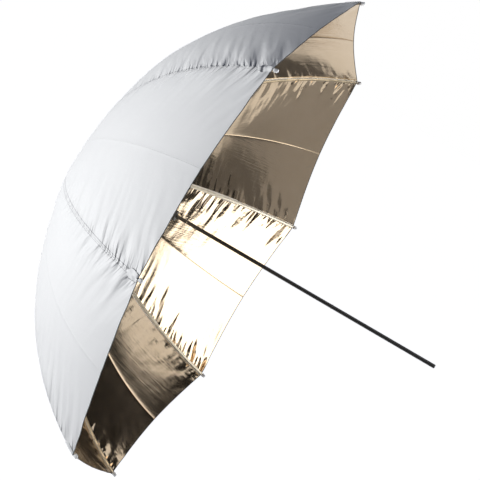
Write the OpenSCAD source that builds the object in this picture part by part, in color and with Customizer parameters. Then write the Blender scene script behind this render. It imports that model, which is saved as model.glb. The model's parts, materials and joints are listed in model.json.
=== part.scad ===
// Umbrella reflector: an eight-rib studio umbrella on a plain tube shaft.
// Millimetres. The shaft lies along X with its free end at X = 0 and the crown toward -X.
// Rib 1 points straight up, +Z.

/* [Ribs] */
// Number of ribs, and so of cloth panels
rib_count = 8; // [6:1:10]
// Radius that each rib bows to when the cloth is tight
rib_bow_radius = 662; // [500:1:1000]
// Angle of a rib's root below square to the shaft
rib_root_angle = 4.3; // [0:0.1:12]
// Angle that a rib turns through from the crown to its tip end
rib_sweep = 58.5; // [40:0.5:70]
// Angle that the ribs fold through to close
fold_angle = 55; // [30:0.5:55]
// Outside width of the rib channel
rib_width = 3.6; // [3:0.1:6]
// Outside depth of the rib channel
rib_depth = 3.4; // [3:0.1:6]
// Sheet thickness of the rib and stretcher channels
channel_wall = 0.5; // [0.4:0.05:0.8]
// Length of the solid tongue at a rib's root
rib_tongue = 16; // [13:0.5:30]
// Thickness of a rib's tongue, in its slot
tongue_width = 2.4; // [1.8:0.05:2.8]
// Depth of a rib's tongue below and above its middle
tongue_depth = 2.6; // [2:0.05:3]
// Length of a tip cap
tip_length = 7.5; // [6:0.5:30]
// Radius of a tip cap
tip_radius = 3; // [2.8:0.1:5]
// Depth of the pocket in a tip cap that holds the rib
tip_pocket = 4; // [3:0.5:14]

/* [Stretchers] */
// Angle along the rib at which its stretcher is riveted
rivet_sweep = 24; // [15:0.5:32]
// Depth of the rivet below the middle of the rib channel
rivet_drop = 0.6; // [0.3:0.05:0.8]
// Rivet shank radius
rivet_radius = 0.9; // [0.6:0.05:1]
// Rivet head radius
rivet_head_radius = 1.7; // [1.4:0.05:2.2]
// Rivet head thickness
rivet_head = 0.6; // [0.4:0.05:1.2]
// Width of a stretcher
stretcher_width = 2.6; // [2:0.05:3]
// Depth of a stretcher
stretcher_depth = 2.8; // [2.4:0.05:4]
// Radius of the eyes at the hubs
eye_radius = 2.2; // [1.8:0.05:2.8]
// Radius of a fork's end round the rivet
fork_end_radius = 1.9; // [1.6:0.05:2]
// Thickness of one fork prong
fork_wall = 0.8; // [0.6:0.05:1.4]
// Length of a fork from the rivet to where it closes
fork_length = 13; // [11:0.5:25]

/* [Hubs] */
// Radius of the circle that the rib and stretcher eyes turn on
ring_radius = 11; // [10:0.1:16]
// Radius of the ring wire
wire_radius = 0.6; // [0.4:0.05:0.9]
// Material of a hub outside the ring wire
hub_rim = 3.5; // [2.5:0.1:6]
// Length of a slotted hub along the shaft
hub_length = 8; // [6:0.1:12]
// Radius of the cross pins
pin_radius = 0.8; // [0.6:0.05:1]

/* [Shaft] */
// Shaft radius, the size that a lamp bracket clamps
shaft_radius = 4; // [3.5:0.05:5]
// Shaft wall thickness
shaft_wall = 0.8; // [0.5:0.05:1]
// Length of shaft beyond the rim of the open cloth
shaft_beyond_rim = 459; // [300:1:600]
// Length of shaft past the middle of the crown hub
shaft_past_crown = 16; // [12:0.5:24]
// Radius of the rolled bead that stops the runner
bead_radius = 1; // [0.6:0.05:1.4]
// Height of the bead above the shaft
bead_height = 0.7; // [0.4:0.05:1.2]
// Depth of the end plug inside the tube
plug_depth = 12; // [6:0.5:30]
// Thickness of the end plug's face
plug_face = 1.5; // [0.8:0.1:4]

/* [Runner] */
// Wall thickness of the runner sleeve
sleeve_wall = 2.9; // [1.5:0.1:3]
// Length of the runner sleeve below its hub
sleeve_length = 58; // [52:1:90]
// Height of the sleeve above its hub
sleeve_top = 3; // [1:0.5:10]
// Radius of the finger collar
collar_radius = 11; // [9:0.1:16]
// Length of the finger collar
collar_length = 8; // [5:0.5:10]
// Height that the stop pin stands out from the shaft
stop_height = 2; // [1:0.1:2.5]

/* [Latch] */
// Length of the latch lever from its pin to its nose
latch_length = 26; // [20:0.5:36]
// Thickness of the latch lever
latch_thickness = 1.6; // [1:0.1:2]
// Radius of the latch lever's eye
latch_eye = 1.7; // [1.5:0.05:2.2]
// Length of the latch's nose
latch_nose = 12; // [6:0.5:16]
// Angle that the latch stands out of the shaft
latch_out = 8; // [4:0.5:9]

/* [Cloth] */
// Thickness of the cloth
cloth_thickness = 0.8; // [0.5:0.1:1.5]
// Radius of the hole in the cloth at the crown
cloth_hole = 17; // [15.5:0.5:24]
// Gap between a corner of the cloth and the tip cap that it is sewn to
corner_gap = 0.3; // [0.2:0.05:3]
// How far toward the rim the panels stay round before their edges pull straight
panel_round = 3; // [1:0.1:6]

/* [Crown cap] */
// Radius of the cloth washer under the cap
washer_radius = 23; // [19:0.5:34]
// Thickness of the cloth washer
washer_thickness = 0.8; // [0.5:0.1:2]
// Radius of the cap's flange
cap_flange_radius = 10; // [8:0.1:16]
// Thickness of the cap's flange
cap_flange = 2; // [1.2:0.1:4]
// Radius of the cap's stem
cap_stem_radius = 6.2; // [5.8:0.1:8]
// Thickness of the cap's closed end past the shaft
cap_end = 6.3; // [3:0.1:12]

/* [Clearances] */
// Running gap on a pin, a wire or the shaft
pin_gap = 0.08; // [0.05:0.01:0.1]
// Gap beside a part that swings
side_gap = 0.3; // [0.25:0.05:0.5]
// Gap below a rib's tip pocket walls
pocket_gap = 0.05; // [0.02:0.01:0.15]
// Half the gap between two pieces of cloth
cloth_gap = 0.15; // [0.1:0.05:0.3]

/* [Hidden] */
$fn = 64;
gore_rows = 18;
gore_columns = 3;
step = 360 / rib_count;
half_step = step / 2;
tip_turn = tip_length / rib_bow_radius * 180 / PI;
pocket_turn = tip_pocket / rib_bow_radius * 180 / PI;
tongue_turn = rib_tongue / rib_bow_radius * 180 / PI;
rib_end = rib_sweep - tip_turn + pocket_turn;
cloth_end = rib_sweep - (tip_length + corner_gap) / rib_bow_radius * 180 / PI;
rim_angle = rib_root_angle + rib_sweep;
bowl_depth = rib_bow_radius * (cos(rib_root_angle) - cos(rim_angle));
crown_z = shaft_beyond_rim + bowl_depth;
bow_r = ring_radius - rib_bow_radius * sin(rib_root_angle);
bow_z = crown_z - rib_bow_radius * cos(rib_root_angle);
rivet_bow = rib_bow_radius - rivet_drop;
rivet_r = bow_r + rivet_bow * sin(rib_root_angle + rivet_sweep);
rivet_z = bow_z + rivet_bow * cos(rib_root_angle + rivet_sweep);
arm_out = rivet_r - ring_radius;
arm_down = crown_z - rivet_z;
arm_length = sqrt(arm_out * arm_out + arm_down * arm_down);
arm_angle = atan2(arm_down, arm_out);
runner_z = crown_z - 2 * arm_down;
runner_travel = 2 * arm_length * sin(arm_angle + fold_angle) - 2 * arm_down;
hub_radius = ring_radius + hub_rim;
crown_slot = tongue_width + 2 * side_gap;
runner_slot = stretcher_width + 2 * side_gap;
slot_floor = ring_radius - eye_radius - 2 * side_gap;
sleeve_bore = shaft_radius + pin_gap;
sleeve_radius = sleeve_bore + sleeve_wall;
sleeve_low = runner_z - hub_length / 2 - sleeve_length;
sleeve_high = runner_z + hub_length / 2 + sleeve_top;
stop_z = sleeve_high + side_gap + pin_radius;
tube_bore = shaft_radius - shaft_wall;
shaft_top = crown_z + shaft_past_crown;
bead_z = sleeve_low - runner_travel - side_gap - bead_radius;
latch_top = sleeve_low - side_gap;
latch_z = latch_top - latch_length;
latch_reach = shaft_radius - pin_gap;
fork_in = rib_width / 2 + side_gap;
fork_out = fork_in + fork_wall;
rivet_half = fork_out + pin_gap;
// The cloth falls away from a rib by up to half a step, and its flat rows cut the bow a little.
corner_drop = rib_width / 2 * tan(half_step);
row_sag = rib_bow_radius * (1 - cos(cloth_end / gore_rows / 2));
cloth_in = rib_depth / 2 + side_gap + corner_drop + row_sag;
cap_base = crown_z + hub_length / 2 + washer_thickness;
cap_top = shaft_top + cap_end;
black = [0.05, 0.05, 0.06];
steel = [0.75, 0.76, 0.78];
white_cloth = [0.94, 0.94, 0.93];
bright_tip = [0.9, 0.9, 0.88];
side_names = ["left", "right"];

// The pieces are drawn with the shaft along Z, then laid down with the crown toward -X.
module laid() rotate([0, -90, 0]) children();

// Turns a piece drawn in the plane of rib 1 into the plane of rib k.
module at_rib(k) rotate([0, 0, -step * (k - 1)]) children();

// Turns a profile about the centre of the rib's bow, from one angle along the rib to another.
module bowed(from, to)
  translate([bow_r, 0, bow_z]) rotate([90, 0, 0]) rotate([0, 0, 90 - rib_root_angle - to])
    rotate_extrude(angle = to - from, $fn = 180) children();

// Moves to a point along the rib, with X pointing along it and Z away from the bowl.
module along_rib(turn)
  translate([bow_r + rib_bow_radius * sin(rib_root_angle + turn), 0,
             bow_z + rib_bow_radius * cos(rib_root_angle + turn)])
    rotate([0, rib_root_angle + turn, 0]) children();

// A pin, eye or hole that lies across the plane of a rib.
module across(radius, length) rotate([90, 0, 0]) cylinder(r = radius, h = length, center = true);

module shaft_tube()
  color(black) laid() difference() {
    union() {
      cylinder(r = shaft_radius, h = shaft_top);
      translate([0, 0, bead_z]) rotate_extrude()
        translate([shaft_radius + bead_height - bead_radius, 0]) circle(r = bead_radius);
    }
    translate([0, 0, -1]) cylinder(r = tube_bore, h = shaft_top + 2);
    rotate([0, 0, half_step]) translate([0, 0, crown_z - hub_length / 4])
      across(pin_radius, 4 * shaft_radius);
    translate([0, 0, stop_z]) across(pin_radius, 4 * shaft_radius);
    translate([0, 0, latch_z]) across(pin_radius, 4 * shaft_radius);
    translate([0, -latch_thickness / 2 - side_gap, latch_top - latch_nose - 2 * side_gap])
      cube([2 * shaft_radius, latch_thickness + 2 * side_gap, latch_nose + 4 * side_gap]);
  }

module end_plug()
  color(black) laid() difference() {
    union() {
      cylinder(r = tube_bore, h = plug_depth);
      translate([0, 0, -plug_face]) cylinder(r1 = shaft_radius - plug_face / 2, r2 = shaft_radius - pin_gap,
                                             h = plug_face);
    }
    translate([0, 0, plug_face]) cylinder(r = tube_bore / 2, h = plug_depth);
  }

// A hub with a slot for each tongue and a groove for the ring wire.
module slotted_hub(bore, slot)
  difference() {
    translate([0, 0, -hub_length / 2]) cylinder(r = hub_radius, h = hub_length);
    translate([0, 0, -hub_length]) cylinder(r = bore, h = 2 * hub_length);
    rotate_extrude() {
      translate([ring_radius, 0]) circle(r = wire_radius);
      translate([ring_radius, -wire_radius]) square([2 * hub_rim, 2 * wire_radius]);
    }
    for (k = [1:rib_count]) at_rib(k)
      translate([slot_floor, -slot / 2, -hub_length])
        cube([hub_radius, slot, 2 * hub_length]);
  }

module crown_hub()
  color(black) laid() difference() {
    translate([0, 0, crown_z]) slotted_hub(shaft_radius, crown_slot);
    rotate([0, 0, half_step]) translate([0, 0, crown_z - hub_length / 4])
      across(pin_radius, 4 * ring_radius);
  }

module crown_ring()
  color(steel) laid() translate([0, 0, crown_z]) rotate_extrude()
    translate([ring_radius, 0]) circle(r = wire_radius, $fn = 24);

module crown_washer()
  color(white_cloth) laid() translate([0, 0, crown_z + hub_length / 2]) difference() {
    cylinder(r = washer_radius, h = washer_thickness);
    translate([0, 0, -1]) cylinder(r = shaft_radius, h = washer_thickness + 2);
  }

module crown_cap()
  color(black) laid() difference() {
    union() {
      translate([0, 0, cap_base]) cylinder(r = cap_flange_radius, h = cap_flange);
      translate([0, 0, cap_base]) cylinder(r = cap_stem_radius, h = shaft_top - cap_base);
      translate([0, 0, shaft_top]) cylinder(r1 = cap_stem_radius, r2 = cap_stem_radius / 2, h = cap_end);
    }
    translate([0, 0, cap_base - 1]) cylinder(r = shaft_radius, h = shaft_top - cap_base + 1);
  }

// Two like pins: one holds the crown hub on the shaft, and one stops the runner.
module cross_pins()
  color(steel) laid() {
    rotate([0, 0, half_step]) translate([0, 0, crown_z - hub_length / 4]) stop_pin();
    translate([0, 0, stop_z]) stop_pin();
  }

module stop_pin() across(pin_radius, 2 * (shaft_radius + stop_height));

module latch_pin()
  color(steel) laid() translate([0, 0, latch_z])
    across(pin_radius, 2 * (shaft_radius - pin_gap));

module latch_lever()
  color(steel) laid() translate([0, 0, latch_z]) rotate([0, latch_out, 0]) difference() {
    rotate([90, 0, 0]) translate([0, 0, -latch_thickness / 2]) linear_extrude(latch_thickness) {
      circle(r = latch_eye);
      translate([-latch_eye / 2, 0]) square([latch_eye, latch_length - latch_nose / 3]);
      polygon([[0, latch_length - latch_nose], [latch_reach, latch_length - latch_nose / 3],
               [latch_reach, latch_length], [0, latch_length]]);
    }
    across(pin_radius + pin_gap, 4 * latch_thickness);
  }

module runner_sleeve()
  color(black) laid() difference() {
    union() {
      translate([0, 0, sleeve_low]) cylinder(r = sleeve_radius, h = sleeve_high - sleeve_low);
      translate([0, 0, sleeve_low]) cylinder(r = collar_radius, h = collar_length);
    }
    translate([0, 0, sleeve_low - 1]) cylinder(r = sleeve_bore, h = sleeve_high - sleeve_low + 2);
  }

module runner_hub() color(black) laid() translate([0, 0, runner_z]) slotted_hub(sleeve_radius, runner_slot);

// The wire is left out in each slot, where a stretcher's eye slides clear as the runner moves.
module runner_ring()
  color(steel) laid() translate([0, 0, runner_z]) {
    slot_turn = asin((runner_slot / 2 + side_gap) / ring_radius);
    for (k = [1:rib_count]) rotate([0, 0, step * (k - 1) + slot_turn])
      rotate_extrude(angle = step - 2 * slot_turn)
        translate([ring_radius, 0]) circle(r = wire_radius, $fn = 24);
  }

module channel_profile(width, depth)
  difference() {
    translate([-depth / 2, -width / 2]) square([depth, width]);
    translate([-depth / 2 - 1, channel_wall - width / 2])
      square([depth - channel_wall + 1, width - 2 * channel_wall]);
  }

module rib(k)
  color(steel) laid() at_rib(k) difference() {
    union() {
      bowed(tongue_turn / 2, rib_end) translate([rib_bow_radius, 0]) channel_profile(rib_width, rib_depth);
      bowed(0, tongue_turn)
        translate([rib_bow_radius - tongue_depth / 2, -tongue_width / 2])
          square([tongue_depth / 2 + rib_depth / 2 - channel_wall / 2, tongue_width]);
      translate([ring_radius, 0, crown_z]) across(eye_radius, tongue_width);
    }
    translate([ring_radius, 0, crown_z]) across(wire_radius + pin_gap + 0.02, 4 * rib_width);
    translate([rivet_r, 0, rivet_z]) across(rivet_radius, 4 * rib_width);
  }

module tip(k)
  color(bright_tip) laid() at_rib(k) along_rib(rib_sweep) difference() {
    union() {
      rotate([0, -90, 0]) translate([0, 0, tip_radius])
        cylinder(r = tip_radius, h = tip_length - tip_radius);
      translate([-tip_radius, 0, 0]) sphere(r = tip_radius);
    }
    translate([-tip_length - 1, -rib_width / 2 - pocket_gap, -rib_depth / 2 - 2 * pocket_gap])
      cube([tip_pocket + 1, rib_width + 2 * pocket_gap, rib_depth + 4 * pocket_gap]);
  }

module rivet(k)
  color(steel) laid() at_rib(k) translate([rivet_r, 0, rivet_z]) {
    across(rivet_radius, 2 * rivet_half);
    for (side = [-1, 1]) translate([0, side * (rivet_half + rivet_head / 2), 0])
      across(rivet_head_radius, rivet_head);
  }

// Drawn from the rivet at the origin, with X running to the runner.
module stretcher(k)
  color(steel) laid() at_rib(k) translate([rivet_r, 0, rivet_z]) rotate([0, 180 - arm_angle, 0]) {
    difference() {
      union() {
        for (side = [-1, 1]) translate([0, side * (fork_in + fork_wall / 2), 0]) {
          across(fork_end_radius, fork_wall);
          translate([0, -fork_wall / 2, -stretcher_depth / 2])
            cube([fork_length + stretcher_depth, fork_wall, stretcher_depth]);
        }
        translate([fork_length, -fork_out, -stretcher_depth / 2])
          cube([stretcher_depth, 2 * fork_out, stretcher_depth]);
        translate([fork_length, 0, 0]) rotate([90, 0, 90])
          linear_extrude(arm_length - fork_length - 3 * eye_radius)
            rotate(90) channel_profile(stretcher_width, stretcher_depth);
        translate([arm_length - 5 * eye_radius, -stretcher_width / 2, -stretcher_depth / 2])
          cube([5 * eye_radius, stretcher_width, stretcher_depth]);
        translate([arm_length, 0, 0]) across(eye_radius, stretcher_width);
      }
      across(rivet_radius + pin_gap, 4 * fork_out);
      translate([arm_length, 0, 0]) across(wire_radius + pin_gap + 0.02, 4 * stretcher_width);
    }
  }

// One point of half a panel: turn is the angle along the rib, across runs from rib to fold.
function cloth_point(turn, across, lift) =
  let (bow = rib_bow_radius + lift,
       r = bow_r + bow * sin(rib_root_angle + turn),
       z = bow_z + bow * cos(rib_root_angle + turn),
       fold = r * (1 - (1 - cos(half_step)) * pow(turn / cloth_end, panel_round)),
       fold_x = fold * cos(half_step) + cloth_gap * sin(half_step),
       fold_y = fold * sin(half_step) - cloth_gap * cos(half_step))
  [r + (fold_x - r) * across, cloth_gap + (fold_y - cloth_gap) * across, z];

function cloth_start(lift) = asin((cloth_hole - bow_r) / (rib_bow_radius + lift)) - rib_root_angle;

module cloth(k, side) {
  rows = gore_rows;
  columns = gore_columns;
  width = columns + 1;
  sheet = (rows + 1) * width;
  points = [for (lift = [cloth_in, cloth_in + cloth_thickness], i = [0:rows], j = [0:columns])
    let (start = cloth_start(lift))
    cloth_point(start + (cloth_end - start) * i / rows, j / columns, lift)];
  faces = concat(
    [for (i = [0:rows - 1], j = [0:columns - 1]) let (a = i * width + j) each
      [[a, a + width, a + 1], [a + 1, a + width, a + width + 1]]],
    [for (i = [0:rows - 1], j = [0:columns - 1]) let (a = sheet + i * width + j) each
      [[a, a + 1, a + width], [a + 1, a + width + 1, a + width]]],
    [for (i = [0:rows - 1], j = [0, columns])
      let (a = i * width + j, b = a + sheet, c = a + width, d = b + width)
      each j == 0 ? [[a, b, c], [b, d, c]] : [[a, c, b], [b, c, d]]],
    [for (i = [0, rows], j = [0:columns - 1]) let (a = i * width + j, b = a + sheet, c = a + 1, d = b + 1)
      each i == 0 ? [[a, c, b], [b, c, d]] : [[a, b, c], [b, d, c]]]
  );
  color(white_cloth) laid() at_rib(k) mirror([0, side == "right" ? 1 : 0, 0])
    polyhedron(points = points, faces = faces);
}

shaft_tube();
end_plug();
crown_hub();
crown_ring();
cross_pins();
crown_cap();
crown_washer();
latch_pin();
latch_lever();
runner_sleeve();
runner_hub();
runner_ring();
for (k = [1:rib_count]) {
  rib(k);
  tip(k);
  rivet(k);
  stretcher(k);
  for (s = side_names)
    cloth(k, s);
}
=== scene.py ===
# %% [markdown]
# # Umbrella reflector
# A studio umbrella bounces a lamp's light back off its lining. White satin cloth is stretched
# over eight spring ribs, and its inside is coated with a pale gold metallic film. We load the
# CAD frame first, because every piece of cloth has to sit on its ribs to a fraction of a millimetre.

# %% Load the frame
import json
import math

import bmesh
import bpy
from mathutils import Matrix, Vector, noise


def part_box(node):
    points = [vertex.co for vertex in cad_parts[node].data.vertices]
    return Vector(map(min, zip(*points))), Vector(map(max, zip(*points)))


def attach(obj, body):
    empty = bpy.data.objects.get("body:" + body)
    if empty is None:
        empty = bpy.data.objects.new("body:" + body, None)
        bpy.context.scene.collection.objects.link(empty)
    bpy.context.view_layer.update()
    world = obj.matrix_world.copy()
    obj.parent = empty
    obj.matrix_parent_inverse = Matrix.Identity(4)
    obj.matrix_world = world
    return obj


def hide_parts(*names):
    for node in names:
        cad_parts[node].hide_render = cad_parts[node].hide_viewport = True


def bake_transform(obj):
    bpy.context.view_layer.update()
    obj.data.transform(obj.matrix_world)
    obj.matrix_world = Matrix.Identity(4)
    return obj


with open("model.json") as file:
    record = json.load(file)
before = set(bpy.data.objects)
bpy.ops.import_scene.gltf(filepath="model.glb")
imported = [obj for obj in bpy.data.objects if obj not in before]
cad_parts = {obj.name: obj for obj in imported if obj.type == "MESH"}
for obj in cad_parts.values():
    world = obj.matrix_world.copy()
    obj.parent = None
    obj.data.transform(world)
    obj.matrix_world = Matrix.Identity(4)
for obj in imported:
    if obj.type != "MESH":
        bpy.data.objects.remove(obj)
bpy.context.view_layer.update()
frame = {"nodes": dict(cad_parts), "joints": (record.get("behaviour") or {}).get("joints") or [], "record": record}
node_objects = frame["nodes"]

# %% [markdown]
# ## The camera
# The shaft slopes down to the right in the photograph. In the CAD frame it lies level, along X, so
# the camera is rolled instead. A camera can be set by three directions: its right, its up and its
# back. These came from lining up the eight rib tips, the rim and the shaft with the picture.

# %% Camera
RIM_CENTRE = Vector((-0.459, 0.0, 0.0))
CAMERA_RIGHT = Vector((0.8477, 0.2711, 0.4560))
CAMERA_UP = Vector((-0.4949, 0.0948, 0.8637))
CAMERA_BACK = Vector((0.1909, -0.9579, 0.2145))
CAMERA_DISTANCE = 2.6415
FAR_CLIP = 50.0
PHOTO_SIZE = 480
FOCAL_PIXELS = 1309.6
RIM_PIXEL = (234.7, 250.0)


def in_view(right, up, back):
    """A point placed as the camera sees it, in metres from the middle of the rim."""
    return RIM_CENTRE + right * CAMERA_RIGHT + up * CAMERA_UP + back * CAMERA_BACK


def aim(obj, place, target, up):
    """Stands obj at place, looking at target with its top toward up."""
    back = (place - target).normalized()
    right = up.cross(back).normalized()
    turn = Matrix((right, back.cross(right), back)).transposed()
    obj.matrix_world = Matrix.Translation(place) @ turn.to_4x4()


camera_data = bpy.data.cameras.new("camera")
camera_data.lens = FOCAL_PIXELS / PHOTO_SIZE * camera_data.sensor_width
camera_data.clip_end = FAR_CLIP
camera = bpy.data.objects.new("camera", camera_data)
bpy.context.scene.collection.objects.link(camera)
pixel = CAMERA_DISTANCE / FOCAL_PIXELS
right_of_rim = (PHOTO_SIZE / 2 - RIM_PIXEL[0]) * pixel
above_rim = (RIM_PIXEL[1] - PHOTO_SIZE / 2) * pixel
aim(camera, in_view(0, 0, CAMERA_DISTANCE), in_view(right_of_rim, above_rim, 0), CAMERA_UP)
bpy.context.scene.camera = camera
print("camera", [round(v, 3) for v in camera.location], "lens", round(camera_data.lens, 1))

# %% [markdown]
# ## Shader maths as plain expressions
# Node graphs get long when every sum needs its own node call. One small class wraps a socket, so
# that `1 - mask * 0.4` adds its own Math nodes, and one method makes any other node.

# %% Shader helper
class Wire:
    """A shader socket that can be used in sums."""

    def __init__(self, tree, socket):
        self.tree, self.socket = tree, socket

    def node(self, kind, settings=None, out=0, **inputs):
        """Makes a node; an input is named by its label, or by its number after an underscore."""
        made = self.tree.nodes.new("ShaderNode" + kind)
        for name, value in (settings or {}).items():
            setattr(made, name, value)
        for name, value in inputs.items():
            slot = made.inputs[int(name[1:]) if name[0] == "_" else name.replace("_", " ")]
            if isinstance(value, Wire):
                self.tree.links.new(value.socket, slot)
            else:
                slot.default_value = value
        return Wire(self.tree, made.outputs[out])

    def _math(self, operation, a, b):
        """Adds a Math node to the two values."""
        return self.node("Math", {"operation": operation}, _0=a, _1=b)

    def __add__(self, other):
        return self._math("ADD", self, other)

    def __radd__(self, other):
        return self._math("ADD", other, self)

    def __sub__(self, other):
        return self._math("SUBTRACT", self, other)

    def __rsub__(self, other):
        return self._math("SUBTRACT", other, self)

    def __mul__(self, other):
        return self._math("MULTIPLY", self, other)

    def __rmul__(self, other):
        return self._math("MULTIPLY", other, self)

    def __truediv__(self, other):
        return self._math("DIVIDE", self, other)

    def __pow__(self, other):
        return self._math("POWER", self, other)

    def mix(self, low, high):
        """A colour between low and high, by this value."""
        return self.node("Mix", {"data_type": "RGBA"}, 2, _0=self, _6=low, _7=high)


def new_finish(name, **constants):
    """A material with its surface shader; returns (material, start wire, surface node)."""
    material = bpy.data.materials.new(name)
    material.use_nodes = True
    tree = material.node_tree
    surface = tree.nodes["Principled BSDF"]
    for socket, value in constants.items():
        surface.inputs[socket.replace("_", " ")].default_value = value
    return material, Wire(tree, None), surface


def feed(surface, **wires):
    """Joins wires to the sockets of a surface shader."""
    for socket, wire in wires.items():
        wire.tree.links.new(wire.socket, surface.inputs[socket.replace("_", " ")])


print("shader helper ready")

# %% [markdown]
# ## Patterns that follow the cloth
# Threads, blotches and stitched puckers all have to bend with the cloth, so they are read from its
# own UV map, in metres: one way runs out along the rib, the other across from the seam. The rib's
# number is added to the first, so that no two panels get the same pattern. Puckers are a noise that
# is stretched away from the seam, sharpened into folds, and dies out over a few centimetres. They
# grow toward the rim, where the cloth is pulled hardest.

# %% Cloth patterns
RIB_LENGTH = 0.67
# At a scale of 1, a wave texture repeats after about this many metres.
BAND_LENGTH = 0.3
BUMP_STRETCH = 5
BUMP_AT_CROWN = 0.2
WELT_BLUR = 0.15


def cloth_place(start):
    """The cloth's own coordinates: along the rib and across from it, in metres."""
    return start.node("UVMap", {"uv_map": "cloth"})


def along_and_across(start):
    """The two coordinates by themselves."""
    parts = start.node("SeparateXYZ", {}, "X", Vector=cloth_place(start))
    return parts, Wire(start.tree, parts.socket.node.outputs["Y"])


def off_seam(start):
    """The distance from the seam, which is the same on both sides of it."""
    across = along_and_across(start)[1]
    return start.node("Math", {"operation": "ABSOLUTE"}, 0, _0=across)


def weave(start, pitch):
    """Fine crossing threads, pitch metres apart: a height from 0 to 1."""
    bands = []
    for way in "XY":
        settings = {"wave_type": "BANDS", "bands_direction": way}
        bands.append(start.node("TexWave", settings, 1, Vector=cloth_place(start),
                                Scale=BAND_LENGTH / pitch, Distortion=0.5, Detail=1.0))
    return bands[0] * 0.5 + bands[1] * 0.5


def cloth_noise(start, size, detail=3.0):
    """Soft random variation, about size metres across."""
    return start.node("TexNoise", {}, 0, Vector=cloth_place(start), Scale=1 / size,
                      Detail=detail, Roughness=0.55)


def streaks(start, length, width):
    """Fine lines that run along the rib, as pulled film shows: a height around 0."""
    along, across = along_and_across(start)
    drawn = start.node("CombineXYZ", {}, 0, X=along / length, Y=across / width)
    return start.node("TexNoise", {}, 0, Vector=drawn, Scale=1.0, Detail=2.0, Roughness=0.6) - 0.5


def puckers(start, spacing, reach, slant, crisp):
    """Stitched gathers beside the seam: folds around 0 that fade over reach metres."""
    along, across = along_and_across(start)
    away = off_seam(start)
    slanted = start.node("CombineXYZ", {}, 0, X=(along + away * slant) / spacing,
                         Y=across / (spacing * BUMP_STRETCH))
    bunched = start.node("TexNoise", {}, 0, Vector=slanted, Scale=1.0, Detail=0.4, Roughness=0.5)
    fold = start.node("MapRange", {"interpolation_type": "SMOOTHSTEP"}, 0, Value=bunched,
                      From_Min=0.5 - crisp, From_Max=0.5 + crisp)
    # The fraction takes the rib's number off again.
    to_rim = start.node("Math", {"operation": "FRACT"}, 0, _0=along) / RIB_LENGTH
    fade = start.node("Math", {"operation": "EXPONENT"}, 0, _0=away / -reach)
    return (fold - 0.5) * fade * (to_rim ** 2 * (1 - BUMP_AT_CROWN) + BUMP_AT_CROWN)


def seam_welt(start, half_width):
    """The raised band of a felled seam: 1 on it and 0 beside it."""
    return start.node("MapRange", {}, 0, Value=off_seam(start), From_Min=half_width * (1 + WELT_BLUR),
                      From_Max=half_width * (1 - WELT_BLUR))


print("cloth patterns ready")

# %% [markdown]
# ## White satin
# The outside is a close, smooth white weave, a little cool in colour. Thin cloth is never quite
# even, so a slow blotch moves its colour and shine, and a fine bump carries the threads, a soft
# unevenness and the puckers beside each seam. A felled seam stands up as a narrow band, a welt.

# %% White satin
SATIN_THREAD = 0.0011
SATIN_COOL = (0.80, 0.808, 0.812, 1)
SATIN_WARM = (0.872, 0.876, 0.872, 1)
# The grey of the painted shade in the groove beside each welt.
GROOVE_SHADE_GREY = (0.30, 0.30, 0.33, 1)
WELT_HALF = 0.0036
CLOTH_BUMP = 0.003
satin, start, surface = new_finish("white_satin", Specular_IOR_Level=0.15)
threads = weave(start, SATIN_THREAD)
blotch = cloth_noise(start, 0.09)
uneven = cloth_noise(start, 0.03, 4.0)
welt = seam_welt(start, WELT_HALF)
# Painted shade darkens the groove along both edges of the welt. This product is 1 half way up and 0 elsewhere.
welt_groove_shade = welt * (1 - welt) * 4
short_puckers = puckers(start, spacing=0.0068, reach=0.014, slant=0.5, crisp=0.14)
long_puckers = puckers(start, spacing=0.02, reach=0.045, slant=0.35, crisp=0.2)
cloth_white = (blotch * 0.7 + threads * 0.3).mix(SATIN_COOL, SATIN_WARM)
height = uneven * 0.2 + threads * 0.006 + welt * 0.25 + short_puckers * 1.5 + long_puckers * 2.4
feed(surface, Roughness=0.48 + blotch * 0.14, Base_Color=(welt_groove_shade * 0.6).mix(cloth_white, GROOVE_SHADE_GREY),
     Normal=start.node("Bump", {}, 0, Strength=1.0, Distance=CLOTH_BUMP, Height=height))
print("white satin: thread pitch", SATIN_THREAD * 1000, "mm")

# %% [markdown]
# ## Pale gold lining
# The inside is a metallised film on cloth. It works as a rough mirror: it has little colour of its
# own, and shows the bright and dark parts of the room. Crinkles break the reflection into glints,
# and they are strongest where the stitching gathers the film. No two seams are gathered alike, so
# each half panel carries its own strength as a mesh attribute, and a slow noise bunches the folds.

# %% Gold lining
LINING_THREAD = 0.0016
GOLD_DARK = (0.55, 0.425, 0.285, 1)
GOLD_LIGHT = (0.70, 0.575, 0.43, 1)
lining, start, surface = new_finish("gold_lining", Metallic=0.96)
grain = weave(start, LINING_THREAD)
crinkle = cloth_noise(start, 0.02, 5.0)
patch = cloth_noise(start, 0.12)
gathered = start.node("Attribute", {"attribute_name": "gather"}, "Fac")
clusters = start.node("MapRange", {}, 0, Value=cloth_noise(start, 0.06), From_Min=0.40, From_Max=0.58,
                      To_Min=0.6, To_Max=1.3)
folds = puckers(start, spacing=0.016, reach=0.036, slant=0.12, crisp=0.22) * gathered * clusters
height = crinkle * 0.06 + grain * 0.004 + streaks(start, length=0.07, width=0.004) * 0.05 + folds * 3.2
feed(surface, Roughness=0.08 + crinkle * 0.11,
     Base_Color=(patch * 0.6 + crinkle * 0.4).mix(GOLD_DARK, GOLD_LIGHT),
     Normal=start.node("Bump", {}, 0, Strength=0.9, Distance=CLOTH_BUMP, Height=height))
print("gold lining: thread pitch", LINING_THREAD * 1000, "mm")

# %% [markdown]
# ## Seam tape and hem
# The panels are joined by a narrow taped seam that also carries the rib, and the rim is turned once. The band at
# the rim is coloured near black: painted shade of the turned hem. Both use one recipe, a plain woven tape.

# %% Seam tape and hem
TAPE_THREAD = 0.0009
TAPE_BUMP = 0.0006


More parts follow.
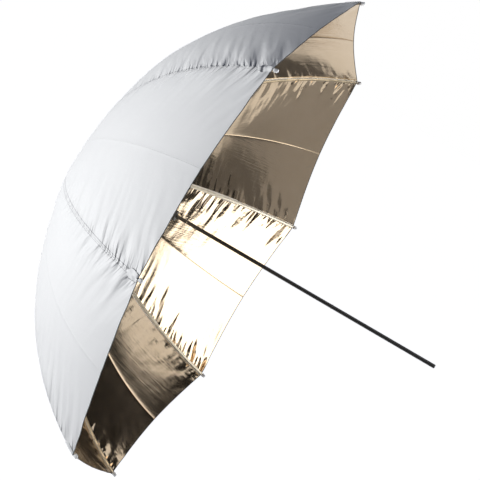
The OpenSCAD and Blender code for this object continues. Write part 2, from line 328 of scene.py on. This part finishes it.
def plain_tape(name, dark, light):
    """A matt woven tape, in a colour between dark and light."""
    made, begin, skin = new_finish(name)
    strands = weave(begin, TAPE_THREAD)
    shade = cloth_noise(begin, 0.02)
    feed(skin, Base_Color=(shade * 0.6 + strands * 0.4).mix(dark, light), Roughness=0.6 + shade * 0.2,
         Normal=begin.node("Bump", {}, 0, Strength=0.4, Distance=TAPE_BUMP, Height=strands))
    return made


seam_tape = plain_tape("seam_tape", (0.66, 0.61, 0.52, 1), (0.86, 0.82, 0.74, 1))
# Near black here is painted shade: the turned hem's edge in shadow.
hem_painted_shade = plain_tape("hem_painted_shade", (0.02, 0.02, 0.02, 1), (0.07, 0.065, 0.06, 1))
print("seam tape and hem ready")

# %% [markdown]
# ## The shape of the cloth
# Each rib is one arc of a circle. Near the crown the cloth is round between the ribs; toward the
# rim it is pulled straight from tip to tip. The same few sizes drive the CAD model.

# %% Cloth shape
RIBS = 8
STEP = math.tau / RIBS
HALF = STEP / 2
BOW = 0.662
ROOT = math.radians(4.3)
RING = 0.011
CROWN_X = (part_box("crown_hub")[0][0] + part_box("crown_hub")[1][0]) / 2
SWEEP = math.radians(58.5)
TIP = 0.0075
TIP_GAP = 0.0003
CLOTH_END = SWEEP - (TIP + TIP_GAP) / BOW
CLOTH_HOLE = 0.017
LIFT = 0.0037
ROUND_AT_RIM = 0.15


def rib_frame(k):
    """Unit directions out along rib k and across it, toward its left half panel."""
    turn = STEP * (k - 1)
    return Vector((0, -math.sin(turn), math.cos(turn))), Vector((0, math.cos(turn), math.sin(turn)))


def arc_place(turn, lift=0.0):
    """Distance out from the shaft, and X, of a point on a rib's arc."""
    out = RING + (BOW + lift) * math.sin(ROOT + turn) - BOW * math.sin(ROOT)
    x = CROWN_X + BOW * math.cos(ROOT) - (BOW + lift) * math.cos(ROOT + turn)
    return out, x


def panel_point(k, side, turn, angle, lift):
    """A point of the tight cloth: angle is how far round from rib k, up to HALF at the fold."""
    out_way, across_way = rib_frame(k)
    out, x = arc_place(turn, lift)
    share = max(turn, 0) / CLOTH_END
    straight = math.cos(HALF) / math.cos(HALF - angle)
    radius = out * (1 - (1 - straight) * (1 - ROUND_AT_RIM) * share ** 3)
    return (Vector((x, 0, 0)) + out_way * radius * math.cos(angle)
            + across_way * side * radius * math.sin(angle))


FIRST_TURN = math.asin((CLOTH_HOLE - RING + BOW * math.sin(ROOT)) / (BOW + LIFT)) - ROOT
print("cloth from", round(math.degrees(FIRST_TURN), 2), "to", round(math.degrees(CLOTH_END), 2), "degrees")

# %% [markdown]
# ## Puckers, folds and the pressed crease
# Tight cloth is never smooth. Stitching gathers it into short puckers that fan out from the
# seams, strongest near the tips and deeper at some seams than at others. Packing leaves a pressed
# fold down the middle of each panel, and one panel hangs a few millimetres fuller than the next.
# These are moves straight out from the tight cloth, from noise that is the same every time.

# %% Cloth relief
GATHER = {(8, "right"): 0.25, (1, "left"): 0.3, (8, "left"): 0.8, (7, "right"): 0.45,
          (6, "left"): 0.45, (5, "right"): 0.7, (5, "left"): 0.35, (4, "right"): 0.35}
SLACK = {1: 0.008, 2: -0.005, 3: -0.006, 4: -0.002, 5: 0.0, 6: -0.003, 7: 0.001, 8: 0.002}
PUCKER_DEPTH, PUCKER_REACH = 0.0032, 0.03
PUCKER_SPACING, PUCKER_LEAN, PUCKER_LENGTH = 0.024, 0.045, 0.07
PUCKER_AT_CROWN = 0.1
RIB_HOLD = 0.06
FULLEST = 1.6
SOFT_DEPTH, SOFT_ALONG, SOFT_ACROSS = 0.001, 0.17, 0.12
CREASE_HEIGHT, CREASE_HALF = 0.0006, 0.004
PUCKER_SEED, SOFT_SEED = 7.3, 3.7


def relief(panel, share, along, off_rib, off_fold, gather=1.0):
    """How far the cloth stands out from its tight shape, in metres."""
    seam = off_rib / PUCKER_REACH
    fan = noise.noise(Vector((along / PUCKER_SPACING + off_rib / PUCKER_LEAN, panel * PUCKER_SEED,
                              off_rib / PUCKER_LENGTH)))
    growth = PUCKER_AT_CROWN + share ** 3
    pucker = PUCKER_DEPTH * gather * growth * fan * seam * math.exp(1 - seam)
    loose = math.sin(math.pi * min(share, 1) ** FULLEST) * (1 - math.exp(-(off_rib / RIB_HOLD) ** 2))
    soft = noise.noise(Vector((along / SOFT_ALONG, panel * SOFT_SEED, off_rib / SOFT_ACROSS)))
    crease = CREASE_HEIGHT * math.exp(-abs(off_fold) / CREASE_HALF)
    return pucker + loose * (SOFT_DEPTH * soft + SLACK[panel]) + crease


print("relief at mid panel", round(1000 * relief(2, 0.6, 0.4, 0.1, 0.1), 2), "mm")

# %% [markdown]
# ## Half panels
# A sewn canopy is one sheet, but it folds about its ribs and its pressed creases. So each panel is
# made as two halves that meet exactly at the crease and at the rib: a flat grid is warped onto the
# tight shape, pushed by the relief, and then thickened, so that the inside gets the lining. The rim
# is drawn in between the tips, by a little more on some panels than on others.

# %% Cloth grid
ROWS, COLUMNS = 200, 36
ROW_CROWDING, COLUMN_CROWDING = 1.15, 0.75
NUDGE = 0.001
SIDES = {"left": 1, "right": -1}
CLOTH_LENGTH = (CLOTH_END - FIRST_TURN) * BOW
SCALLOP = {1: 0.003, 2: 0.011, 3: 0.002, 4: 0.002, 5: 0.013, 6: 0.015, 7: 0.014, 8: 0.015}
BOWL_MIDDLE = Vector((CROWN_X + BOW, 0, 0))


def crowded(value, pull):
    """Moves evenly spaced values toward both ends, where the detail is."""
    return value - pull * math.sin(math.tau * value) / math.tau


def finish_mesh(mesh, name, *finishes):
    """Turns a bmesh into an object of the scene."""
    data = bpy.data.meshes.new(name)
    mesh.to_mesh(data)
    mesh.free()
    for finish in finishes:
        data.materials.append(finish)
    obj = bpy.data.objects.new(name, data)
    bpy.context.scene.collection.objects.link(obj)
    return obj


def lay_uv(mesh, flat):
    """Gives each corner its vertex's place on the flat cloth, and shades the faces smooth."""
    uv = mesh.loops.layers.uv.new("cloth")
    for face in mesh.faces:
        face.smooth = True
        for loop in face.loops:
            loop[uv].uv = flat[loop.vert]
    return uv


def warped_grid(k, side_name):
    """A grid on the tight cloth beside rib k; returns the bmesh and its UV layer."""
    side = SIDES[side_name]
    panel = k if side < 0 else (k - 2) % RIBS + 1
    gather = GATHER.get((k, side_name), 1.0)
    mesh = bmesh.new()
    bmesh.ops.create_grid(mesh, x_segments=ROWS, y_segments=COLUMNS, size=0.5)
    flat = {}
    for vert in mesh.verts:
        share = 1 - max(0.5 - vert.co.x, 0) ** ROW_CROWDING
        angle = HALF * min(max(crowded(vert.co.y + 0.5, COLUMN_CROWDING), 0), 1)
        rim = CLOTH_END - SCALLOP[panel] / BOW * math.sin(math.pi / 2 * angle / HALF)
        turn = FIRST_TURN + (rim - FIRST_TURN) * share
        base = panel_point(k, side, turn, angle, LIFT)
        outward = (panel_point(k, side, turn, angle, LIFT + NUDGE) - base).normalized()
        out = arc_place(turn)[0]
        along = share * CLOTH_LENGTH
        off_rib, off_fold = out * math.sin(angle), out * math.sin(HALF - angle)
        vert.co = base + outward * relief(panel, share, along, off_rib, off_fold, gather)
        flat[vert] = (along + k, side * off_rib)
    bmesh.ops.recalc_face_normals(mesh, faces=mesh.faces)
    mesh.faces.ensure_lookup_table()
    if mesh.faces[0].normal.dot(mesh.faces[0].calc_center_median() - BOWL_MIDDLE) < 0:
        bmesh.ops.reverse_faces(mesh, faces=mesh.faces)
    return mesh, lay_uv(mesh, flat)


print("cloth grid", ROWS, "by", COLUMNS, "over", round(CLOTH_LENGTH, 3), "m")

# %% [markdown]
# ## Choosing the cloths
# Each half has four cloths: satin, lining, a tape along the seam, and a band round the rim that is coloured near
# black as painted shade of the turned hem. They could be separate strips, but sewn strips never come apart, so
# each face of the thickened half is given its cloth by where it lies.

# %% Cloth of each face
SEAM_HALF = 0.0052
# EDGE is how far the band of painted hem shade reaches in from the rim.
EDGE = 0.0024
OUTSIDE, INSIDE, TAPE, PAINTED_HEM_SHADE = range(4)


def sew_faces(mesh, uv, k):
    """Chooses the cloth of each face of a thickened half panel."""
    for face in mesh.faces:
        corners = [loop[uv].uv for loop in face.loops]
        to_rim = CLOTH_LENGTH + k - sum(c.x for c in corners) / len(corners)
        from_seam = abs(sum(c.y for c in corners)) / len(corners)
        faces_out = face.normal.dot(face.calc_center_median() - BOWL_MIDDLE) > 0
        # Faces at the rim get the painted shade of the hem.
        if to_rim < EDGE:
            face.material_index = PAINTED_HEM_SHADE
        elif faces_out:
            face.material_index = OUTSIDE
        else:
            face.material_index = TAPE if from_seam < SEAM_HALF else INSIDE


# The printed binding depth is the depth of the painted hem shade.
print("seam tape", 2000 * SEAM_HALF, "mm wide, binding", 1000 * EDGE, "mm deep")

# %% [markdown]
# ## Folding like a pleat
# When the umbrella closes, each rib swings in toward the shaft and the cloth beside it has to lay itself in a
# pleat. The cloth at the rib follows the rib, and the cloth further off also turns about the line from hub to tip.
# A blend along one straight line can't do that on a bowed panel: neighbouring halves would cut through each other.
# So a share of the turn is worked out for each point, chosen so that the closed point lies at the angle round the
# shaft at which it lay open. The half panels compute these shares but neither keep nor apply them.

# %% Pleat shares
RIB_GRIP = 0.02
joints = {entry["name"]: entry for entry in frame["joints"]}


def pleat_share(place, k, side_name):
    """The share of the pleat's full turn that lays this part of the cloth in a closed pleat."""
    side = SIDES[side_name]
    out_way, across_way = rib_frame(k)
    fold, pleat = joints[f"rib_fold_{k}"], joints[f"pleat_{k}_{side_name}"]
    hub, axis = Vector(fold["pos_m"]), Vector(pleat["axis"]) * side
    full = math.radians(max(abs(limit) for limit in pleat["range_deg"]))
    # The plane through the shaft and this point is the one that the closed point has to reach.
    off_rib = place.dot(across_way) * side
    round_shaft = math.atan2(off_rib, place.dot(out_way))
    beyond = across_way * side * math.cos(round_shaft) - out_way * math.sin(round_shaft)
    folded = Matrix.Rotation(math.radians(fold["range_deg"][1]), 3, fold["axis"])
    unfolded = folded.transposed() @ beyond
    # Turned by t, the point is still + square * cos(t) + swung * sin(t) beyond that plane.
    arm = place - hub
    along = axis * axis.dot(arm)
    still, square, swung = (unfolded.dot(way) for way in (along, arm - along, axis.cross(arm)))
    still += beyond.dot(hub)
    if still + square <= 0:
        return 0.0
    middle = math.atan2(swung, square)
    swing = math.acos(min(max(-still / math.hypot(square, swung), -1), 1))
    turn = min((middle + way) % math.tau for way in (swing, -swing))
    free = min(off_rib / RIB_GRIP, 1)
    return min(turn / full, 1) * free ** 2 * (3 - 2 * free)


print("pleats turn by up to", joints["pleat_1_left"]["range_deg"], "degrees")

# %% Half panels
THICK = 0.0006


def half_panel(k, side_name):
    """The cloth between rib k and the crease beside it; returns the object and its area."""
    mesh, uv = warped_grid(k, side_name)
    area = sum(face.calc_area() for face in mesh.faces)
    bmesh.ops.solidify(mesh, geom=list(mesh.faces), thickness=THICK)
    sew_faces(mesh, uv, k)
    obj = finish_mesh(mesh, f"half_panel_{k}_{side_name}", satin, lining, seam_tape, hem_painted_shade)
    gather = obj.data.attributes.new("gather", "FLOAT", "POINT")
    gather.data.foreach_set("value", [GATHER.get((k, side_name), 1.0)] * len(obj.data.vertices))
    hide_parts(f"cloth_{k}_{side_name}")
    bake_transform(obj)
    shares = [pleat_share(vert.co, k, side_name) for vert in obj.data.vertices]
    return obj, area


panels = {(k, side): half_panel(k, side) for k in range(1, RIBS + 1) for side in SIDES}
print(len(panels), "half panels,", sum(len(obj.data.polygons) for obj, _ in panels.values()), "faces")

# %% [markdown]
# ## Tip pockets
# At each corner a small pocket of the same satin is sewn over the rib's tip, so that the tip can't
# poke out. It has a short closed sleeve and a tongue. The sleeve is spun from its outline at the
# origin, rumpled a little, and then carried to its tip by one matrix.

# %% Pocket sleeve
SLEEVE = 0.0036
SLEEVE_STEPS = 28
SLEEVE_ROUGH = 0.05
SLEEVE_FOLDS = (900, 4, 3.1)
MERGE_DISTANCE = 1e-6
SLEEVE_OUTLINE = [(-TIP, SLEEVE * 1.12), (-TIP * 0.6, SLEEVE), (-TIP * 0.25, SLEEVE * 0.98),
                  (0.0003, SLEEVE * 0.75), (0.0009, SLEEVE * 0.35), (0.001, 0)]


def tip_frame(k):
    """A matrix from the tip's own place (x along the rib, z out of the bowl) to the frame."""
    out_way, across_way = rib_frame(k)
    out, x = arc_place(SWEEP)
    slope = ROOT + SWEEP
    ahead = out_way * math.cos(slope) + Vector((math.sin(slope), 0, 0))
    outward = out_way * math.sin(slope) - Vector((math.cos(slope), 0, 0))
    turn = Matrix((ahead, across_way, outward)).transposed().to_4x4()
    return Matrix.Translation(Vector((x, 0, 0)) + out_way * out) @ turn


def sleeve(k):
    """The closed end of a pocket, round the tip."""
    mesh = bmesh.new()
    verts = [mesh.verts.new((x, 0, radius)) for x, radius in SLEEVE_OUTLINE]
    edges = [mesh.edges.new(pair) for pair in zip(verts, verts[1:])]
    bmesh.ops.spin(mesh, geom=verts + edges, axis=(1, 0, 0), cent=(0, 0, 0), angle=math.tau,
                   steps=SLEEVE_STEPS, use_merge=True)
    bmesh.ops.remove_doubles(mesh, verts=mesh.verts, dist=MERGE_DISTANCE)
    bmesh.ops.recalc_face_normals(mesh, faces=mesh.faces)
    along_folds, round_folds, seed = SLEEVE_FOLDS
    for vert in mesh.verts:
        around = math.atan2(vert.co.y, vert.co.z)
        rumpled = noise.noise(Vector((vert.co.x * along_folds, around * round_folds, k * seed)))
        vert.co.yz *= 1 + SLEEVE_ROUGH * rumpled
    bmesh.ops.transform(mesh, matrix=tip_frame(k), verts=mesh.verts)
    return mesh


print("sleeves", 2000 * SLEEVE, "mm across")

# %% [markdown]
# ## Tongues
# A tongue is a small grid, laid on the outside of the cloth by the same function that shapes the panels, so that
# it follows their curve.

# %% Tip pockets
TONGUE_LENGTH, TONGUE_HALF = 0.03, 0.0095
TONGUE_ROUND, TONGUE_TAPER = 0.55, 0.3
TONGUE_LIFT = 0.0011
TONGUE_CELLS = 14
POCKET_THICK = 0.0004
CLEAR_OF_SEAM = 0.05


def add_tongue(mesh, k):
    """The tongue of a pocket, on the outside of the cloth and rounded at its end."""
    made = bmesh.ops.create_grid(mesh, x_segments=TONGUE_CELLS, y_segments=TONGUE_CELLS, size=1)["verts"]
    for vert in made:
        inward, sideways = (1 - vert.co.x) / 2, vert.co.y
        rounding = math.sqrt(max(1 - TONGUE_ROUND * sideways ** 2, 0))
        turn = CLOTH_END - inward * TONGUE_LENGTH * rounding / BOW
        off = sideways * TONGUE_HALF * (1 - TONGUE_TAPER + TONGUE_TAPER * inward)
        angle = math.asin(abs(off) / arc_place(turn)[0])
        vert.co = panel_point(k, 1 if off > 0 else -1, turn, angle, LIFT + TONGUE_LIFT)


def tip_pocket(k):
    """A sleeve and its tongue, with a UV map that keeps clear of the seam's puckers."""
    mesh = sleeve(k)
    add_tongue(mesh, k)
    back = tip_frame(k).inverted()
    lay_uv(mesh, {vert: (back @ vert.co).xy + Vector((k, CLEAR_OF_SEAM)) for vert in mesh.verts})
    bmesh.ops.solidify(mesh, geom=list(mesh.faces), thickness=POCKET_THICK)
    obj = finish_mesh(mesh, f"tip_pocket_{k}", satin)
    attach(obj, f"rib_{k}")
    return obj


pockets = {k: tip_pocket(k) for k in range(1, RIBS + 1)}
for (k, side), (obj, area) in panels.items():
    [pockets[k]] if side == "left" else []
print(len(pockets), "tip pockets")

# %% [markdown]
# ## Crown washer
# Under the cap a round of pinked cloth covers the hole where the eight panels meet. Pinking shears
# leave a zigzag edge, so the rim's points go in and out in turn, and the cloth cockles a little.

# %% Crown washer
WASHER_POINTS = 72
PINKING = 0.045
COCKLE, COCKLES = 0.0004, 5
WASHER_STAND = 0.0006
washer_low, washer_high = (Vector(corner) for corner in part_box("crown_washer"))
WASHER_RADIUS = (washer_high.z - washer_low.z) / 2
SHAFT_RADIUS = (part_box("shaft_tube")[1][1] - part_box("shaft_tube")[0][1]) / 2


def pinked_washer():
    """Three rings bridged into a flat round, then pinked, cockled, stood up and thickened."""
    mesh = bmesh.new()
    rings = []
    for radius in (SHAFT_RADIUS, 0.5 * (SHAFT_RADIUS + WASHER_RADIUS), WASHER_RADIUS):
        rim = bmesh.ops.create_circle(mesh, segments=WASHER_POINTS, radius=radius)["verts"]
        rings.append({edge for vert in rim for edge in vert.link_edges})
    for inner, outer in zip(rings, rings[1:]):
        bmesh.ops.bridge_loops(mesh, edges=list(inner | outer))
    for point, vert in enumerate(rim):
        vert.co *= 1 - PINKING * (point % 2)
        vert.co.z = COCKLE * math.sin(point / WASHER_POINTS * math.tau * COCKLES)
    upright = Matrix.Rotation(math.radians(-90), 4, "Y")
    stand = Matrix.Translation((washer_low.x + WASHER_STAND, 0, 0)) @ upright
    bmesh.ops.transform(mesh, matrix=stand, verts=mesh.verts)
    bmesh.ops.recalc_face_normals(mesh, faces=mesh.faces)
    lay_uv(mesh, {vert: vert.co.yz + Vector((0, CLEAR_OF_SEAM)) for vert in mesh.verts})
    area = sum(face.calc_area() for face in mesh.faces)
    bmesh.ops.solidify(mesh, geom=list(mesh.faces), thickness=THICK)
    obj = finish_mesh(mesh, "pinked_washer", satin)
    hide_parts("crown_washer")
    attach(obj, "shaft")


pinked_washer()
print("pinked washer", round(2000 * WASHER_RADIUS, 1), "mm across")

# %% [markdown]
# ## Metal and plastic
# The shaft is steel tube under satin black enamel, the hubs and cap are moulded plastic, and the
# ribs and stretchers are bright plated steel. These CAD pieces keep their shapes and get finishes.

# %% Hard finishes
ROUGH_SPREAD = 0.16
FINER = 8


def hard_finish(name, dark, light, metallic, rough, speck, bump_depth):
    """A hard surface, mottled between two colours in specks, with a finer bump."""
    made, begin, skin = new_finish(name, Metallic=metallic)
    place = begin.node("TexCoord", {}, "Object")
    mottle = begin.node("TexNoise", {}, 0, Vector=place, Scale=1 / speck, Detail=4.0)
    fine = begin.node("TexNoise", {}, 0, Vector=place, Scale=FINER / speck, Detail=2.0)
    feed(skin, Base_Color=mottle.mix(dark, light), Roughness=rough + (mottle - 0.5) * ROUGH_SPREAD,
         Normal=begin.node("Bump", {}, 0, Strength=0.3, Distance=bump_depth, Height=fine))
    return made


hard_slots = {
    "black_enamel": hard_finish("black_enamel", (0.004, 0.004, 0.004, 1), (0.012, 0.012, 0.013, 1),
                                metallic=0.0, rough=0.36, speck=0.02, bump_depth=0.0001),
    "black_plastic": hard_finish("black_plastic", (0.015, 0.015, 0.016, 1), (0.035, 0.035, 0.036, 1),
                                 metallic=0.0, rough=0.5, speck=0.008, bump_depth=0.0002),
    "plated_steel": hard_finish("plated_steel", (0.60, 0.55, 0.46, 1), (0.76, 0.71, 0.61, 1),
                                metallic=1.0, rough=0.3, speck=0.012, bump_depth=0.0001),
    "tip_metal": hard_finish("tip_metal", (0.70, 0.70, 0.68, 1), (0.86, 0.86, 0.84, 1),
                             metallic=0.6, rough=0.34, speck=0.01, bump_depth=0.0001)}
finished = 0
for entry in frame["record"]["subparts"]:
    finish = hard_slots.get(entry["material_slot"])
    shown = node_objects.get(entry["node"])
    if finish and shown:
        shown.data.materials.clear()
        shown.data.materials.append(finish)
        finished += 1
print("hard finishes on", finished, "nodes")

# %% [markdown]
# ## The white room
# The umbrella is held in the air by its shaft, in front of plain white. More light would also turn a
# background white, but it would bleach the cloth. So the world shows white to the camera and to
# shiny surfaces, and lights the cloth only a little.

# %% White room
AMBIENT = 0.075
SKY = (0.42, 0.55, 0.95, 1)
WHITE = (1, 1, 1, 1)
BLACK = (0, 0, 0, 1)


def seen_directly(begin):
    """1 for rays that come from the camera, metal or glass, and 0 for the light on cloth."""
    ray = begin.node("LightPath", {}, "Is Camera Ray")
    for other in ("Is Glossy Ray", "Is Transmission Ray"):
        other_ray = begin.node("LightPath", {}, other)
        ray = begin.node("Math", {"operation": "MAXIMUM"}, 0, _0=ray, _1=other_ray)
    return ray


world = bpy.data.worlds.new("white_room")
bpy.context.scene.world = world
world.use_nodes = True
ray = seen_directly(Wire(world.node_tree, None))
feed(world.node_tree.nodes["Background"], Color=ray.mix(SKY, WHITE), Strength=ray + (1 - ray) * AMBIENT)
bpy.context.scene.view_settings.view_transform = "Standard"
print("white room, ambient", AMBIENT)

# %% [markdown]
# ## The floor
# An umbrella on a tall stand is far above the floor, so its shadow is faint and wide. A plain pale
# sheet does for it. It glows almost white for the camera, which leaves the shadow a little room,
# and it throws no light back, so that the lamps alone shape the tones of the cloth.

# %% Floor
FLOOR_DROP = 2.5
FLOOR_SIZE = 80.0
FLOOR_GLOW = 0.975
FLOOR_DARK = (0.80, 0.80, 0.80, 1)
FLOOR_LIGHT = (0.84, 0.84, 0.84, 1)


def grey(level):
    """A neutral colour."""
    return (level, level, level, 1)


pale, begin, skin = new_finish("pale_floor", Roughness=0.9, Specular_IOR_Level=0.0, Emission_Strength=1.0)
mottle = begin.node("TexNoise", {}, 0, Vector=begin.node("TexCoord", {}, "Object"), Scale=6.0)
feed(skin, Base_Color=mottle.mix(FLOOR_DARK, FLOOR_LIGHT),
     Emission_Color=seen_directly(begin).mix(BLACK, grey(FLOOR_GLOW)))
sheet = bmesh.new()
bmesh.ops.create_grid(sheet, x_segments=1, y_segments=1, size=FLOOR_SIZE / 2)
bmesh.ops.translate(sheet, verts=sheet.verts, vec=RIM_CENTRE - Vector((0, 0, FLOOR_DROP)))
floor = finish_mesh(sheet, "floor", pale)
floor.visible_diffuse = False
floor.visible_glossy = False
print("floor", FLOOR_DROP, "m below the shaft")

# %% [markdown]
# ## Soft lamps
# Four big square lamps stand round the umbrella. One at the left front makes the left panels bright
# and leaves the top one in shade. One at the right front is only there for the lining to mirror.
# One near the line of the shaft lights the tapes and ribs inside the bowl, and one behind lights
# the far panels. The last two would show as bright squares in the lining, so it doesn't see them.

# %% Soft lamps
def soft_lamp(name, place, size, power):
    """A square soft lamp that faces the rim and isn't seen by the camera."""
    data = bpy.data.lights.new(name, "AREA")
    data.shape, data.size, data.energy = "SQUARE", size, power
    lamp = bpy.data.objects.new(name, data)
    bpy.context.scene.collection.objects.link(lamp)
    aim(lamp, place, RIM_CENTRE, CAMERA_UP)
    lamp.visible_camera = False
    return lamp


soft_lamp("left_lamp", in_view(-1.66, 0.52, 1.0), size=1.1, power=32.5)
mirrored_lamp = soft_lamp("right_front_lamp", in_view(1.76, -0.44, 1.25), size=2.5, power=44)
mirrored_lamp.visible_diffuse = False
inside_lamp = soft_lamp("inside_lamp", in_view(2.0, -1.17, 0.45), size=1.0, power=80)
inside_lamp.visible_glossy = False
back_lamp = soft_lamp("back_lamp", in_view(0.1, -0.3, -2.5), size=1.8, power=44)
back_lamp.visible_glossy = False
print("four soft lamps")

# %% [markdown]
# ## Cards for the lining to reflect
# A shiny lining is only as interesting as the room around it. Photographers stand boards and black
# flags out of the picture, to put a soft shade or a deep dark into a reflection. Three boards below
# the umbrella give its upper panels their browns. The black flag at the right puts a deep dark into
# the lower panels, the side flag darkens the gathers deep in the bowl, and a curtain behind the
# camera keeps the front of the room dim.

# %% Cards
PAPER_GRAIN = 0.1


def card(name, place, toward, size, shade):
    """A plain board that faces toward, is seen in reflections, and stays out of the picture."""
    paper, begin, skin = new_finish(name + "_paper", Roughness=0.9, Specular_IOR_Level=0.0)
    fibre = begin.node("TexNoise", {}, 0, Vector=begin.node("TexCoord", {}, "Object"), Scale=40.0)
    feed(skin, Base_Color=fibre.mix(grey(shade * (1 - PAPER_GRAIN)), grey(shade * (1 + PAPER_GRAIN))))
    mesh = bmesh.new()
    bmesh.ops.create_grid(mesh, x_segments=1, y_segments=1, size=size / 2)
    facing = (toward - place).to_track_quat("Z", "Y").to_matrix().to_4x4()
    bmesh.ops.transform(mesh, verts=mesh.verts, matrix=Matrix.Translation(place) @ facing)
    board = finish_mesh(mesh, name, paper)
    board.visible_camera = False


card("grey_board", in_view(0.31, -1.1, 0.1), in_view(0.1, 0.2, -0.3), size=1.3, shade=0.6)
card("dark_board", in_view(0.80, -0.97, 0.1), in_view(0.59, 0.33, -0.3), size=0.56, shade=0.25)
card("black_flag", in_view(1.05, 0.5, -1.3), in_view(0, 0.5, -1.3), size=1.7, shade=0.01)
card("brown_board", in_view(0.28, -0.66, -0.86), in_view(0.18, 0.41, -0.21), size=0.42, shade=0.25)
card("side_flag", in_view(1.06, -0.84, -0.25), in_view(0, -0.84, -0.25), size=0.82, shade=0.01)
card("dark_curtain", in_view(-1.0, 0.2, 3.3), in_view(0, 0, 0), size=3.6, shade=0.01)
print("six cards placed")
